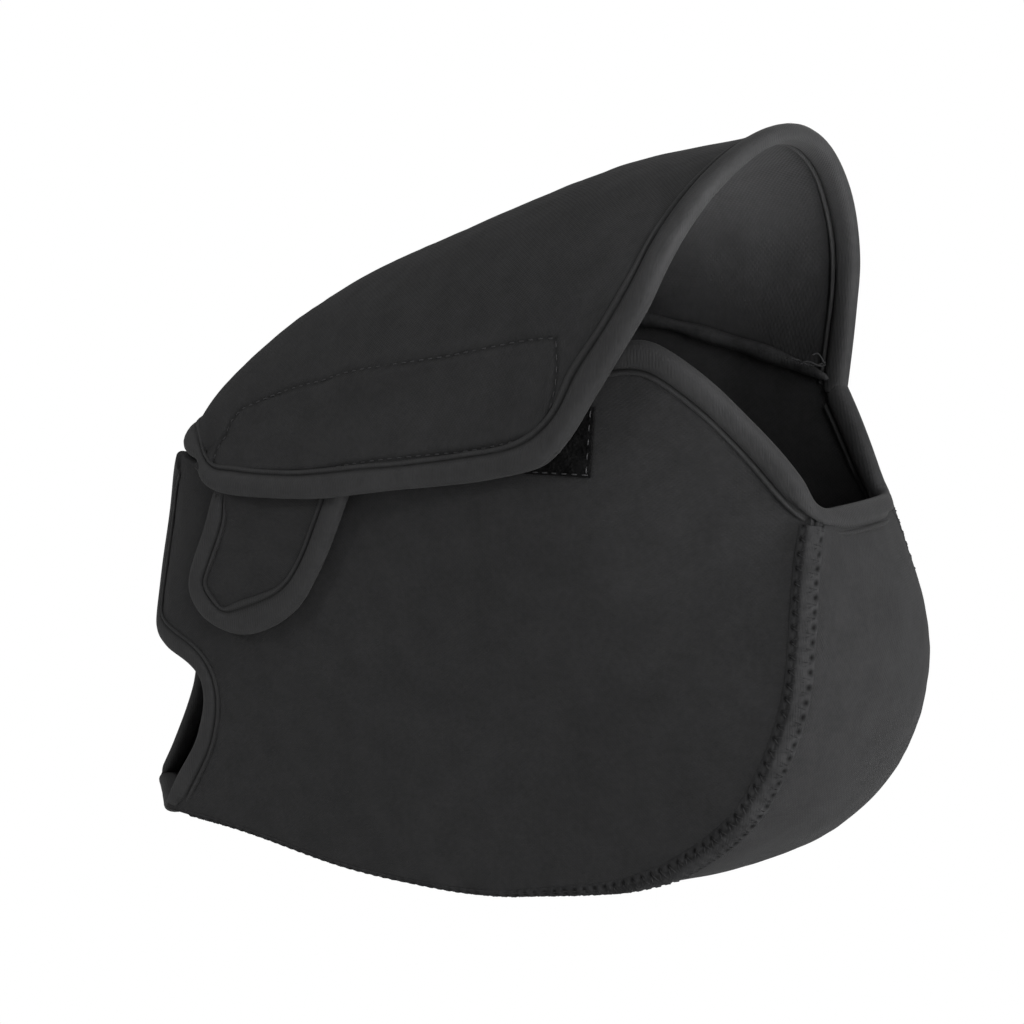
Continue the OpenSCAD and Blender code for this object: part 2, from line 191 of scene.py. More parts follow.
def strap(q):
    a, t = q[..., 0] / 100, q[..., 1] / 40
    over = (q[..., 1] - 40) / 60
    place = mix(curve(STRAP_REAR, t), curve(STRAP_FRONT, t), a[..., None])
    place[..., 1] -= 3.5 * np.sin(math.pi * np.clip(a, 0, 1)) * np.maximum(1 - t, 0) ** 3
    hanging = lift(near_side, place, STACK * (1 + 0.24 * ease((t - 0.5) / 0.5)))
    under = lift(flap, pair(mix(10 + 4 * over, 44 - 6 * over, a), 99 * over + 0.5),
                 -mix(STACK * 1.11, CLOTH + LAY, ease((over - 0.75) / 0.2)))
    return np.where((q[..., 1] < 40)[..., None], hanging, under)


def normal(f, q, e=0.4):
    u, v = np.array([e, 0]), np.array([0, e])
    return unit(np.cross(f(q + u) - f(q - u), f(q + v) - f(q - v)))


def lift(f, q, d):
    """The point that lies d off the surface f."""
    return f(q) + normal(f, q) * np.asarray(d, float)[..., None]


def run_length(points):
    """Length along a line of points, up to each of them."""
    steps = np.linalg.norm(np.diff(points, axis=0), axis=1)
    return np.concatenate([[0], np.cumsum(steps)])


def step(f, q, m, e=0.4):
    """Step on the cloth that moves one millimetre along m on the surface f."""
    u, v = np.array([e, 0]), np.array([0, e])
    a, b = (f(q + u) - f(q - u)) / e / 2, (f(q + v) - f(q - v)) / e / 2
    aa, ab, bb = (a * a).sum(-1), (a * b).sum(-1), (b * b).sum(-1)
    am, bm, d = (a * m).sum(-1), (b * m).sum(-1), aa * bb - ab * ab
    return np.stack([(bb * am - ab * bm) / d, (aa * bm - ab * am) / d], -1)


def between(bottom, top, left, right, us, vs):
    """Grid of places between four edge curves."""
    u, v = us[:, None, None], vs[None, :, None]
    corners = mix(mix(left(0.0), right(0.0), u), mix(left(1.0), right(1.0), u), v)
    return mix(bottom(us)[:, None], top(us)[:, None], v) + mix(left(vs)[None], right(vs)[None],
                                                               u) - corners


def drift(p, size=0.55):
    """Slow unevenness that all pieces share, so that they stay on each other."""
    x, y, z = p[..., 0], p[..., 1], p[..., 2]
    return p + size * np.stack([
        np.sin(z / 23 + 1) * np.sin(y / 31) + np.sin((x + z) / 17 + 2) * 0.4,
        np.sin(x / 27 + z / 33) + 0.6 * np.sin(x / 14 - z / 19 + 1),
        np.sin(x / 29 + 0.5) + 0.4 * np.sin(x / 13 + y / 21)], -1)


# Meshes


def add_mesh(name, points, faces, material, shade=None, place=None, smooth=True):
    """A mesh object from points in mm, with painted shade for its grooves (and painted highlights
    on some ridges) and places for its weave.
    """
    mesh = bpy.data.meshes.new(name)
    faces = faces.tolist() if hasattr(faces, "tolist") else faces
    mesh.from_pydata((drift(points) * 0.001).tolist(), [], faces)
    mesh.polygons.foreach_set("use_smooth", [smooth] * len(faces))
    values = np.ones(len(points)) if shade is None else shade.reshape(-1)
    mesh.attributes.new("shade", "FLOAT", "POINT").data.foreach_set("value", values)
    if place is not None:
        spots = np.zeros((len(points), 3))
        spots[:, :2] = place.reshape(-1, 2) * 0.001
        mesh.attributes.new("place", "FLOAT_VECTOR", "POINT").data.foreach_set(
            "vector", spots.reshape(-1))
    mesh.materials.append(material)
    mesh.update()
    piece = bpy.data.objects.new(name, mesh)
    bpy.context.scene.collection.objects.link(piece)
    turn_outward(mesh)
    return piece


def turn_outward(mesh):
    """Turns the faces round where the mesh is inside out."""
    points = np.empty(len(mesh.vertices) * 3)
    mesh.vertices.foreach_get("co", points)
    points = points.reshape(-1, 3)
    mesh.calc_loop_triangles()
    corners = np.empty(len(mesh.loop_triangles) * 3, int)
    mesh.loop_triangles.foreach_get("vertices", corners)
    a, b, c = (points[corners.reshape(-1, 3)[:, k]] for k in range(3))
    if (a * np.cross(b, c)).sum() < 0:
        mesh.flip_normals()


def grid_faces(rows, columns, start=0, around=False, ring=False):
    """Quads of a grid of points, closed across its columns (around) or its rows (ring)."""
    i = np.arange(rows if ring else rows - 1)[:, None]
    j = np.arange(columns if around else columns - 1)[None, :]
    i2, j2 = (i + 1) % rows, (j + 1) % columns
    quads = np.stack([i * columns + j, i2 * columns + j, i2 * columns + j2, i * columns + j2], -1)
    return start + quads.reshape(-1, 4)


def shell(name, low, high, material, shade=None, place=None):
    """Closed sheet between two grids of points."""
    m, n = low.shape[:2]
    k = m * n
    index = np.arange(k).reshape(m, n)
    rim = np.concatenate([index[:, 0], index[-1, 1:], index[-2::-1, -1], index[0, -2:0:-1]])
    nxt = np.roll(rim, -1)
    sides = np.stack([rim, nxt, nxt + k, rim + k], -1)
    faces = np.concatenate([grid_faces(m, n)[:, ::-1], grid_faces(m, n, k), sides])
    points = np.concatenate([low.reshape(-1, 3), high.reshape(-1, 3)])
    both = None if shade is None else np.concatenate([shade.reshape(-1), shade.reshape(-1)])
    spots = None if place is None else np.concatenate([place.reshape(-1, 2)] * 2)
    return add_mesh(name, points, faces, material, both, spots)


def tube(name, rings, material, shade=None, closed=False):
    """Closed solid through rings of points, with a fan of triangles over each open end."""
    m, n = rings.shape[:2]
    points, faces = rings.reshape(-1, 3), grid_faces(m, n, around=True, ring=closed).tolist()
    if not closed:
        points = np.concatenate([points, rings[[0, -1]].mean(1)])
        first, last = m * n, m * n + 1
        faces += [[first, (j + 1) % n, j][::-1] for j in range(n)]
        faces += [[last, last - 1 - n + j, last - 1 - n + (j + 1) % n][::-1] for j in range(n)]
        if shade is not None:
            shade = np.append(shade.reshape(-1), [1, 1])
    return add_mesh(name, points, faces, material, shade)


def thread(name, path, radius, material, sides=6):
    """Round thread along a path of points."""
    along = unit(np.gradient(path, axis=0))
    across = unit(np.cross(along, [0.3, 0.2, 1.0]))
    a = np.arange(sides) * math.tau / sides
    ring = (across[:, None] * np.cos(a)[:, None] + np.cross(along, across)[:, None]
            * np.sin(a)[:, None])
    ends = np.minimum(1, 0.45 + 0.3 * np.minimum(np.arange(len(path)), np.arange(len(path))[::-1]))
    return tube(name, path[:, None] + ring * (radius * ends)[:, None, None], material)


def stitches(name, path, normals, material, length=3.0, gap=1.0, radius=0.32, sunk=0.05):
    """A row of short stitches along a path, all in one mesh."""
    run = run_length(path)
    count = int(run[-1] / (length + gap))
    starts = (np.arange(count) + 0.5) * run[-1] / count
    t = np.linspace(-0.5, 0.5, 5)
    arch = np.array([-0.7, 0.25, 0.4, 0.25, -0.7]) * radius * 2 - sunk
    width = np.array([0.3, 0.9, 1.0, 0.9, 0.3]) * radius
    a = np.arange(6) * math.tau / 6
    points, faces = [], []
    for k, s in enumerate(starts):
        spots = s + t * length
        c = np.stack([np.interp(spots, run, path[:, j]) for j in range(3)], -1)
        n = unit(np.array([np.interp(s, run, normals[:, j]) for j in range(3)]))
        side = unit(np.cross(unit(c[-1] - c[0]), n))
        c = c + n * arch[:, None]
        rings = (c[:, None] + side * np.cos(a)[None, :, None] * width[:, None, None]
                 + n * np.sin(a)[None, :, None] * width[:, None, None])
        points.append(rings.reshape(-1, 3))
        first = k * 30
        faces += grid_faces(5, 6, first, around=True).tolist()
        faces += [[first + j for j in range(6)], [first + 24 + j for j in range(5, -1, -1)]]
    return add_mesh(name, np.concatenate(points), faces, material)


# Relief of the cloth


def nearness(points, lines):
    """Distance of each point from the nearest of the lines."""
    spots = np.concatenate(lines)
    tree = KDTree(len(spots))
    for k, spot in enumerate(spots):
        tree.insert(spot, k)
    tree.balance()
    flat = points.reshape(-1, 3)
    return np.array([tree.find(p)[2] for p in flat]).reshape(points.shape[:-1])


def on(f, places, n=160):
    """Points of a line drawn on the cloth of f, evenly spaced, and the normals there."""
    t = np.linspace(0, 1, 8 * n)
    if len(places) > 2:
        q = curve(places, t)
    else:
        q = mix(np.array(places[0], float), np.array(places[1], float), t[:, None])
    run = run_length(f(q))
    even = np.linspace(0, run[-1], max(12, int(run[-1] / 1.2)))
    q = np.stack([np.interp(even, run, q[:, j]) for j in range(2)], -1)
    return lift(f, q, np.full(len(q), HALF)), normal(f, q)


def groove(d, depth=0.6):
    """Height at d from a stitch line that pulls the cloth in."""
    return -depth * np.exp(-d**2)


def mottle(p, size=0.09):
    """Small soft unevenness of the face of the cloth."""
    x, y, z = p[..., 0], p[..., 1], p[..., 2]
    return size * (np.sin(x / 3.1 + np.sin(z / 4.3) * 2) * np.sin(z / 2.7 + np.sin(y / 3.7) * 2)
                   + np.sin(x / 7.3 + z / 5.9) * np.sin(z / 6.1 - y / 8.3 + 1))


def cloth_piece(name, f, q, material, lines=(), puff=None, place=None):
    """A sheet of neoprene, with a groove along each stitch line and painted shade along it, puffed
    out where asked.
    """
    p, n = f(q), normal(f, q)
    top = HALF + mottle(p)
    shade = np.ones(q.shape[:2])
    if lines:
        d = nearness(p + n * HALF, lines)
        top = top + groove(d) + 0.22 * np.exp(-(((d - 2.6) / 1.3) ** 2))
        # painted shade: the colour is darkened along each stitch line, as shadow in the groove
        shade = shade - 0.5 * np.exp(-((d / 0.8) ** 2))
    bottom = -HALF + mottle(p + 9)
    if puff is not None:
        top = top + puff
        bottom = -HALF + puff - mottle(p)
    return shell(name, p + n * bottom[..., None], p + n * top[..., None], material, shade,
                 q if place is None else place)


# Edge binding

# Folded tape round the edge of the cloth: (past the edge, off the middle of the cloth). The
# stitch line near the inner edge pulls the tape down, and leaves a narrow lip beyond it.
TAPE_FACE = [(-9.0, 1.3), (-9.0, 1.75), (-8.6, 2.15), (-8.0, 2.25), (-7.5, 1.95), (-7.2, 1.5),
             (-6.9, 1.5), (-6.5, 2.0), (-5.7, 2.6), (-4.4, 2.95), (-2.9, 3.05), (-1.4, 2.95),
             (-0.1, 2.6), (0.9, 1.9), (1.45, 1.0)]
TAPE = (TAPE_FACE + [(1.6, 0)] + [(x, -y) for x, y in reversed(TAPE_FACE)]
        + [(-4.5, -HALF - 0.1), (0.45, -HALF - 0.1), (0.45, HALF + 0.1), (-4.5, HALF + 0.1)])
TAPE_OUTSIDE = TAPE[:2 * len(TAPE_FACE) + 1]
# Painted shade and highlight across the tape's face: darker at its inner edge and in the stitch
# groove, lighter on the narrow lip.
TAPE_PAINTED_SHADE_AND_HIGHLIGHT = np.interp([past for past, off in TAPE_OUTSIDE],
                       [-9.0, -8.4, -7.6, -7.2, -6.7, -6.0], [0.45, 1.1, 0.8, 0.12, 0.6, 1.0])


def even_places(f, places, spacing=1.5):
    """The same line of places, evenly spaced in millimetres."""
    run = run_length(f(places))
    even = np.linspace(0, run[-1], max(4, int(run[-1] / spacing)))
    return np.stack([np.interp(even, run, places[:, j]) for j in range(2)], -1)


def soften(rings, times, closed=False):
    """Smooths rings along their path, so that a tape turns a corner softly."""
    for _ in range(times):
        before, after = np.roll(rings, 1, 0), np.roll(rings, -1, 0)
        if not closed:
            before[0], after[-1] = rings[0], rings[-1]
        rings = (before + 2 * rings + after) / 4
    return rings


def binding(name, edges, closed=False, times=4, fit=1.0):
    """Folded tape along edges, each (surface, places) or (surface, places, reach)."""
    section = np.array(TAPE, float)
    spots = []
    for f, places, *reach in edges:
        spots.append((f, even_places(f, places), reach[0] if reach else np.ones(2)))
    line = np.concatenate([f(q) for f, q, reach in spots])
    eased = soften(line, 4 * times, closed)
    if closed:
        along = np.roll(eased, -1, 0) - np.roll(eased, 1, 0)
    else:
        along = np.gradient(eased, axis=0)
    rings = []
    first = 0
    for f, q, reach in spots:
        m = along[first:first + len(q)]
        first += len(q)
        past = unit(np.cross(m, normal(f, q)))
        move = step(f, q, past)
        far = np.interp(np.linspace(0, 1, len(q)), np.linspace(0, 1, len(reach)), reach)
        x = np.where(section[:, 0] < 0, section[:, 0] * far[:, None], section[:, 0]) * fit
        wave = np.arange(len(q))[:, None] * 1.5
        x = x * (1 + 0.03 * np.sin(wave / 9 + 1) + 0.02 * np.sin(wave / 3.7))
        y = section[:, 1] * (1 + 0.03 * np.sin(wave / 6.1) * (np.abs(section[:, 1]) > 1.9))
        rings.append(lift(f, q[:, None] + move[:, None] * x[..., None], y))
    rings = soften(np.concatenate(rings), times, closed)
    inner = section[:, 0] < -5
    rings[:, inner] = soften(rings[:, inner], 4 * times, closed)
    # painted shade and highlight of the tape, multiplied into its colour
    shade = np.ones(rings.shape[:2])
    shade[:, :len(TAPE_PAINTED_SHADE_AND_HIGHLIGHT)] = TAPE_PAINTED_SHADE_AND_HIGHLIGHT
    return tube(name, rings, TAPE_CLOTH, shade, closed)


# Materials


def grey(value):
    """A grey that is a little cool."""
    return (value, value, value * 1.03)


def add_node(tree, kind, **values):
    """A node with its settings and its inputs' values."""
    node = tree.nodes.new(kind)
    for key, value in values.items():
        if hasattr(node, key) and key not in node.inputs:
            setattr(node, key, value)
        else:
            node.inputs[key].default_value = value
    return node


def new_effect(name, share):
    """Group with places in, height and mottle out, and a texture scale of share / wale width."""
    group = bpy.data.node_groups.new(name, "ShaderNodeTree")
    sockets = group.interface
    sockets.new_socket("Places", in_out="INPUT", socket_type="NodeSocketVector")
    sockets.new_socket("Wale width", in_out="INPUT", socket_type="NodeSocketFloat")
    sockets.new_socket("Height", in_out="OUTPUT", socket_type="NodeSocketFloat")
    sockets.new_socket("Mottle", in_out="OUTPUT", socket_type="NodeSocketFloat")
    ins = group.nodes.new("NodeGroupInput")
    outs = group.nodes.new("NodeGroupOutput")
    size = add_node(group, "ShaderNodeMath", operation="DIVIDE")
    size.inputs[0].default_value = share
    group.links.new(ins.outputs["Wale width"], size.inputs[1])
    return group, ins, outs, size


def join(group, operation, first, second, target):
    """Puts a sum, a difference or the greater of two values into a socket."""
    node = add_node(group, "ShaderNodeMath", operation=operation)
    group.links.new(first, node.inputs[0])
    group.links.new(second, node.inputs[1])
    group.links.new(node.outputs[0], target)


def knit_effect():
    """Fine knit: places in, height and colour variation out."""
    group, ins, outs, size = new_effect("knit", 0.32)
    link = group.links.new
    waves = []
    for turn in (0.9, -0.9):
        tilt = add_node(group, "ShaderNodeMapping")
        tilt.inputs["Rotation"].default_value = (0, 0, turn)
        link(ins.outputs["Places"], tilt.inputs["Vector"])
        wave = add_node(group, "ShaderNodeTexWave", wave_type="BANDS", bands_direction="X",
                        wave_profile="SIN", Distortion=1.2, Detail=1.0)
        wave.inputs["Detail Scale"].default_value = 2.0
        link(tilt.outputs["Vector"], wave.inputs["Vector"])
        link(size.outputs[0], wave.inputs["Scale"])
        waves.append(wave)
    join(group, "MAXIMUM", waves[0].outputs["Fac"], waves[1].outputs["Fac"],
         outs.inputs["Height"])
    fine = add_node(group, "ShaderNodeTexNoise", Scale=420.0, Detail=3.0, Roughness=0.6)
    broad = add_node(group, "ShaderNodeTexNoise", Scale=70.0, Detail=4.0, Roughness=0.55)
    link(ins.outputs["Places"], fine.inputs["Vector"])
    link(ins.outputs["Places"], broad.inputs["Vector"])
    join(group, "ADD", fine.outputs["Fac"], broad.outputs["Fac"], outs.inputs["Mottle"])
    return group


def pile_effect():
    """Short looped or hooked pile: places in, height and colour variation out."""
    group, ins, outs, size = new_effect("pile", 1.0)
    loops = add_node(group, "ShaderNodeTexVoronoi", feature="SMOOTH_F1")
    tangle = add_node(group, "ShaderNodeTexNoise", Scale=650.0, Detail=4.0, Roughness=0.7,
                      Distortion=1.5)
    patchy = add_node(group, "ShaderNodeTexNoise", Scale=190.0, Detail=3.0)
    for node in (loops, tangle, patchy):
        group.links.new(ins.outputs["Places"], node.inputs["Vector"])
    group.links.new(size.outputs[0], loops.inputs["Scale"])
    join(group, "SUBTRACT", tangle.outputs["Fac"], loops.outputs["Distance"],
         outs.inputs["Height"])
    join(group, "ADD", tangle.outputs["Fac"], patchy.outputs["Fac"], outs.inputs["Mottle"])
    return group


def cloth_material(name, dark, light, relief_group, wale=0.0011, rough=0.85, bump=0.35, sheen=0.03,
                   specular=0.15, depth=0.0003, source="Object"):
    """Matt black textile: bump of its knit or pile, mottled colour, and painted shade in its
    grooves and painted highlights from the mesh's shade attribute.
    """
    material = bpy.data.materials.new(name)
    material.use_nodes = True
    tree = material.node_tree
    link = tree.links.new
    shader = tree.nodes["Principled BSDF"]
    shader.inputs["Roughness"].default_value = rough
    shader.inputs["Specular IOR Level"].default_value = specular
    shader.inputs["Sheen Weight"].default_value = sheen
    shader.inputs["Sheen Roughness"].default_value = 0.6
    if source == "Object":
        places = add_node(tree, "ShaderNodeTexCoord").outputs["Object"]
    else:
        places = add_node(tree, "ShaderNodeAttribute", attribute_name=source).outputs["Vector"]
    effect = add_node(tree, "ShaderNodeGroup")
    effect.node_tree = relief_group
    effect.inputs["Wale width"].default_value = wale
    link(places, effect.inputs["Places"])
    ramp = add_node(tree, "ShaderNodeMapRange")
    for key, value in (("From Min", 0.72), ("From Max", 1.28), ("To Min", 0.0), ("To Max", 1.0)):
        ramp.inputs[key].default_value = value
    link(effect.outputs["Mottle"], ramp.inputs["Value"])
    tint = add_node(tree, "ShaderNodeMix", data_type="RGBA")
    tint.inputs[6].default_value = (*dark, 1)
    tint.inputs[7].default_value = (*light, 1)
    link(ramp.outputs["Result"], tint.inputs["Factor"])
    # painted shade and highlight: the mesh's shade values multiply the base colour
    shade = add_node(tree, "ShaderNodeAttribute", attribute_name="shade")
    painted_shade_mix = add_node(tree, "ShaderNodeMix", data_type="RGBA", blend_type="MULTIPLY")
    painted_shade_mix.inputs["Factor"].default_value = 1.0
    link(tint.outputs[2], painted_shade_mix.inputs[6])
    link(shade.outputs["Color"], painted_shade_mix.inputs[7])
    link(painted_shade_mix.outputs[2], shader.inputs["Base Color"])
    relief = add_node(tree, "ShaderNodeBump", Strength=bump, Distance=depth)
    link(effect.outputs["Height"], relief.inputs["Height"])
    link(relief.outputs["Normal"], shader.inputs["Normal"])
    return material


def thread_material():
    """Twisted sewing thread, a little shinier than the cloth."""
    material = bpy.data.materials.new("sewing_thread")
    material.use_nodes = True
    tree = material.node_tree
    shader = tree.nodes["Principled BSDF"]
    shader.inputs["Roughness"].default_value = 0.6
    shader.inputs["Specular IOR Level"].default_value = 0.35
    places = add_node(tree, "ShaderNodeTexCoord").outputs["Object"]
    twist = add_node(tree, "ShaderNodeTexWave", Scale=900.0, Distortion=2.0)
    tint = add_node(tree, "ShaderNodeMix", data_type="RGBA")
    tint.inputs[6].default_value = (0.012, 0.012, 0.013, 1)
    tint.inputs[7].default_value = (0.05, 0.05, 0.052, 1)
    tree.links.new(places, twist.inputs["Vector"])
    tree.links.new(twist.outputs["Fac"], tint.inputs["Factor"])
    tree.links.new(tint.outputs[2], shader.inputs["Base Color"])
    return material


def floor_material():
    """White to the camera, and a pale matt floor to everything else."""
    material = bpy.data.materials.new("white_floor")
    material.use_nodes = True
    tree = material.node_tree
    shader = tree.nodes["Principled BSDF"]
    shader.inputs["Base Color"].default_value = (0.75, 0.75, 0.75, 1)
    shader.inputs["Roughness"].default_value = 0.9
    glow = add_node(tree, "ShaderNodeEmission", Strength=1.0)
    glow.inputs["Color"].default_value = (1, 1, 1, 1)
    path = add_node(tree, "ShaderNodeLightPath")
    blend = add_node(tree, "ShaderNodeMixShader")
    tree.links.new(path.outputs["Is Camera Ray"], blend.inputs[0])
    tree.links.new(shader.outputs[0], blend.inputs[1])
    tree.links.new(glow.outputs[0], blend.inputs[2])
    tree.links.new(blend.outputs[0], tree.nodes["Material Output"].inputs["Surface"])
    return material


KNIT = knit_effect()
PILE = pile_effect()
NEOPRENE = cloth_material("black_neoprene", grey(0.018), grey(0.026), KNIT, source="place")
# The gusset's neoprene is a lighter copy of the black neoprene: painted light for the side that
# faces the key lamp.
GUSSET_PAINTED_LIGHTER = cloth_material("gusset_neoprene_painted_lighter", grey(0.021), grey(0.030), KNIT, source="place")
TAPE_CLOTH = cloth_material("binding_tape", grey(0.019), grey(0.028), KNIT, wale=0.0008,
                            rough=0.7, bump=0.3, sheen=0.04, specular=0.22)
SEAM = cloth_material("seam_thread_band", grey(0.020), grey(0.036), KNIT, wale=0.0008,
                      rough=0.8, bump=0.3, sheen=0.0, specular=0.08)
HOOK_TAPE = cloth_material("hook_tape", grey(0.007), grey(0.016), PILE, wale=0.0014,
                           rough=0.6, bump=0.9, depth=0.0006)
LOOP_TAPE = cloth_material("loop_tape", grey(0.002), grey(0.012), PILE, wale=0.0011, rough=1.0,
                           bump=1.0, sheen=0.0, specular=0.08, depth=0.0009)
THREAD = thread_material()


def keep(piece, slot, *nodes):
    """Every piece rides on the one body, and the model's parts that it replaces are hidden."""
    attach(piece, "root")
    if nodes:
        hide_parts(*nodes)
    return piece


# The cloth


def mirrored(points):
    return np.array(points, float) * [-1, 1]


def spaced(n, crowd=1.0):
    return np.linspace(0, 1, n + 1) ** crowd


def near_side_panel():
    q = between(lambda u: curve(NEAR_SEAM, 1 - u), lambda u: curve(NEAR_TOP, u),
                lambda v: curve(NEAR_REAR, v),
                lambda v: mix(np.array([294.0, 119]), np.array([294.0, 122]),
                              np.asarray(v)[..., None]), spaced(230, 1.15), spaced(150))
    bulge = 1.6 * np.exp(-((q[..., 0] - 205) / 60) ** 2 - ((q[..., 1] - 55) / 50) ** 2)
    patch = [(46, 59), (84, 59), (84, 88), (46, 88), (46, 59)]
    lines = [on(near_side, patch[k:k + 2])[0] for k in range(4)]
    piece = cloth_piece("near_side_panel_cloth", near_side, q, NEOPRENE, lines, puff=bulge)
    return keep(piece, "neoprene", "near_side_panel")


def far_top(u):
    wrap = curve(FAR_WRAP_TOP, np.minimum(u / 0.12, 1))
    side = curve(FLAP_SEAM, (np.maximum(u - 0.12, 0) / 0.88) ** 0.85)
    return np.where((np.asarray(u) < 0.12)[..., None], wrap, side) * [-1, 1] + [0, 0.15]


def far_side_panel():
    q = between(lambda u: mirrored(curve(FAR_SEAM, 1 - u)), far_top,
                lambda v: mirrored(curve(FAR_REAR, v)), lambda v: mirrored(curve(FAR_FRONT, v)),
                spaced(200, 1.7), spaced(110))
    piece = cloth_piece("far_side_panel_cloth", far_side, q, NEOPRENE)
    cut_crank_hole(piece)
    return keep(piece, "neoprene", "far_side_panel")


def cut_crank_hole(piece):
    """Cuts the round crank hole out of the far panel."""
    cutter = bpy.data.meshes.new("crank_hole_cutter")
    sides, reach = 64, 12
    a = np.arange(sides) * math.tau / sides
    ring = far_side(np.stack([-np.cos(a), np.sin(a)], -1) * (CRANK_HOLE + 0.5))
    out = normal(far_side, np.array([0.0, 0.0])) * reach
    points = np.concatenate([ring - out, ring + out])
    faces = grid_faces(2, sides, around=True).tolist()
    faces += [list(range(sides))[::-1], list(range(sides, 2 * sides))]
    cutter.from_pydata((drift(points) * 0.001).tolist(), [], faces)
    turn_outward(cutter)
    tool = bpy.data.objects.new("crank_hole_cutter", cutter)
    bpy.context.scene.collection.objects.link(tool)
    cut = piece.modifiers.new("crank_hole", "BOOLEAN")
    cut.operation = "DIFFERENCE"
    cut.object = tool
    cut.solver = "EXACT"
    result = piece.evaluated_get(bpy.context.evaluated_depsgraph_get())
    done = bpy.data.meshes.new_from_object(result)
    piece.modifiers.clear()
    piece.data = done
    bpy.data.objects.remove(tool)


def gusset_piece():
    q = pair(100 * spaced(300)[:, None], np.linspace(4, 176, 81)[None, :])
    along = run_length(gusset(q)[:, 40])
    across = np.linspace(0, 120, 81)
    piece = cloth_piece("gusset_cloth", gusset, q, GUSSET_PAINTED_LIGHTER,
                        place=pair(along[:, None], across[None, :]))
    return keep(piece, "neoprene", "gusset")


# Stitch lines of the hook strip, on the flap
HOOK_LINES = [[(20, 30.8), (38.8, 31.2), (57.2, 28), (83.2, 23.2)],
              [(83.2, 23.2), (87.0, 14), (88.4, 5.6)],
              [(20.8, 7.2), (34, 7.2), (46.8, 7.2), (60, 6.3), (70.8, 5.6), (88.4, 5.6)],
              [(20, 30.8), (16.4, 28.6), (12.2, 23.4), (10.8, 18), (10.9, 12.8), (13.2, 8.6),
               (16.8, 7.3), (20.8, 7.2)]]


def top_flap():
    u, v = 100 * spaced(210), 100 * spaced(190)
    q = pair(u[:, None], v[None, :])
    p = flap(q)
    along = run_length(p[:, 95])
    across = run_length(p[105])
    lines = []
    for k, places in enumerate(HOOK_LINES):
        spots, out = on(flap, places)
        lines.append(spots)
        keep(stitches("hook_strip_stitches_%d" % k, spots, out, THREAD, radius=0.26,
                      sunk=0.55), "seam_thread")
    piece = cloth_piece("top_flap_cloth", flap, q, NEOPRENE, lines,
                        place=pair(along[:, None], across[None, :]))
    return keep(piece, "neoprene", "top_flap")


def closing_strap():
    q = pair(100 * spaced(50)[:, None], 100 * spaced(220)[None, :])
    piece = cloth_piece("closing_strap_cloth", strap, q, NEOPRENE,
                        place=pair(q[..., 0] * 0.6, q[..., 1] * 3))
    return keep(piece, "neoprene", "closing_strap")


# Bindings


def line_at(fixed, moving, along_first=False):
    """Places with one number fixed and the other moving."""
    moved = mix(moving[0], moving[1], np.linspace(0, 1, 400))
    if along_first:
        return pair(moved, fixed)
    return pair(fixed, moved)


def mouth_binding():
    t = np.linspace(0, 1, 500)
    edges = [(far_side, mirrored(curve(FAR_FRONT, 1.05 - t * 1.02))),
             (gusset, line_at(0, (173, 7))),
             (near_side, curve(NEAR_TOP, np.linspace(0.98, 0.09, 900)),
              [1, 1, 1, 1, 1, 0.9, 0.7, 0.42, 0.42, 0.42, 0.42])]
    keep(binding("mouth_binding_tape", edges, times=9), "binding_tape", "mouth_binding")


def rear_opening_binding():
    t = np.linspace(0, 1, 900)
    wrap_top = mirrored(curve(FAR_WRAP_TOP, np.linspace(0.04, 0.99, 500))) - [0, 0.35]
    edges = [(near_side, curve(NEAR_REAR, 0.995 - t * 0.975)), (gusset, line_at(100, (7, 173))),
             (far_side, mirrored(curve(FAR_REAR, 0.02 + t * 0.96))), (far_side, wrap_top)]
    keep(binding("rear_opening_binding_tape", edges), "binding_tape", "rear_opening_binding")


def flap_binding():
    edges = [(flap, line_at(0, (97, 30))),
             (flap, line_at(0, (30, 9)), [0.7, 0.35]),
             (flap, line_at(0, (3.5, 14), True), [0.35, 0.8]),
             (flap, line_at(0, (14, 90), True)),
             (flap, line_at(0, (90, 97.5), True), [1, 0.6]),
             (flap, line_at(100, (3.5, 10)), [0.6, 1]),
             (flap, line_at(100, (10, 101.3)))]
    keep(binding("flap_binding_tape", edges, times=6), "binding_tape", "flap_binding")


def strap_binding():
    edges = [(strap, line_at(0, (84, 3))), (strap, line_at(0, (8, 92), True)),
             (strap, line_at(100, (3, 84)))]
    keep(binding("strap_binding_tape", edges, times=6, fit=0.92), "binding_tape",
         "strap_binding")


def crank_hole_binding():
    a = np.linspace(0, math.tau, 300)[:-1]
    places = CRANK_HOLE * pair(-np.cos(a), np.sin(a))
    keep(binding("crank_hole_binding_tape", [(far_side, places)], closed=True, times=1,
                 fit=0.85), "binding_tape", "crank_hole_binding")


# Flat seams


STITCH_PITCH = 4.6
SEAM_WIDTHS = [-4.2, -3.9, -3.5, -3.1, -2.6, -1.9, -1.3, -1.0, -0.7, 0, 0.8, 1.7, 2.5, 3.0,
               3.4, 3.8, 4.2]


def seam_face(w, s, height):
    """Height off the middle of the cloth, and painted shade, at w across the seam and s along it.
    """
    beat = 0.5 + 0.5 * np.cos(s / STITCH_PITCH * math.tau)
    right, left = (math.exp(-((w - middle) / 0.75) ** 2) for middle in (3.0, -2.6))
    hole = beat**2 * (right + 0.75 * left)
    fold = math.exp(-((w + 1) / 0.4) ** 2)
    rise = 0.15 + height * math.sqrt(max(0, 1 - (w / 4.05) ** 2))
    h = HALF + rise - hole - 0.4 * fold + 0.08 * np.sin(s * 2.9 + w)
    # painted shade in the stitch holes and along the fold line, and the panel-side half painted
    # darker than the lit gusset-side half
    shade = 1.2 - 0.15 * (w < -1) - 1.1 * hole - 0.5 * fold
    return np.maximum(h, HALF + 0.25), shade


